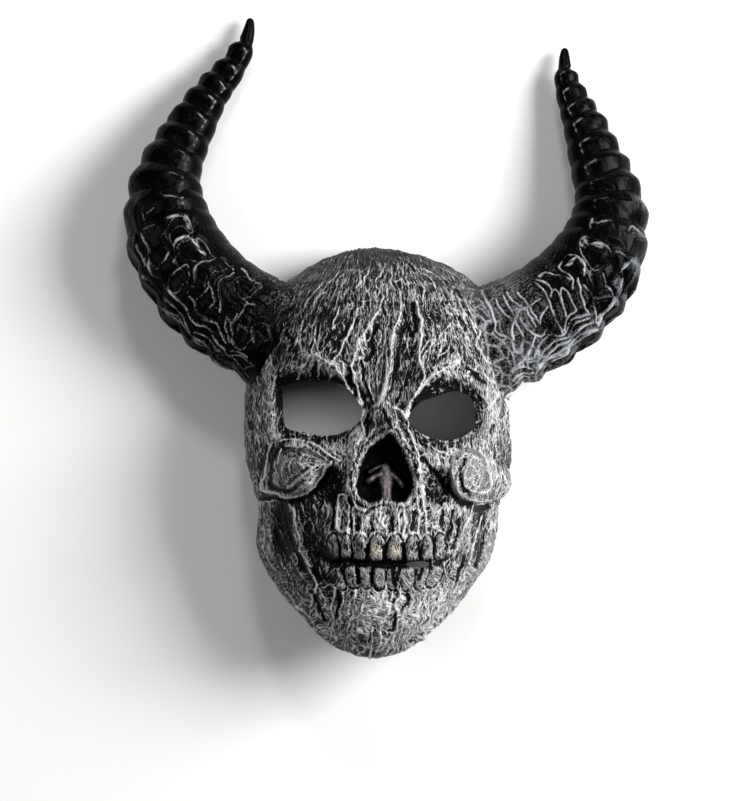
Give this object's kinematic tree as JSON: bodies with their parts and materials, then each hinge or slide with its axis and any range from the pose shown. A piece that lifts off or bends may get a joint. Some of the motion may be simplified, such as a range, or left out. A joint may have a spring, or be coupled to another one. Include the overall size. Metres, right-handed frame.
{
  "type": "horned skull mask",
  "caption": "Full-face skull mask of moulded latex with sunken eye holes, bared teeth and a pair of long ringed horns curving upwards from the temples.",
  "frame": {"origin": "on the floor, under the middle of the mask's outline as it lies on its back", "axes": "+X to the viewer's right across the face, +Y towards the crown and horns, +Z out of the face"},
  "size_m": [0.321, 0.3918, 0.1129],
  "materials": {
    "mask_latex": "moulded black latex, drybrushed with pale grey on the raised veins, bones and teeth, matt",
    "horn_latex": "moulded black latex, satin towards the tips, drybrushed with pale grey near the temples"
  },
  "bodies": {
    "root": {"mask_face": "mask_latex", "horn_left": "horn_latex", "horn_right": "horn_latex"}
  },
  "joints": []
}
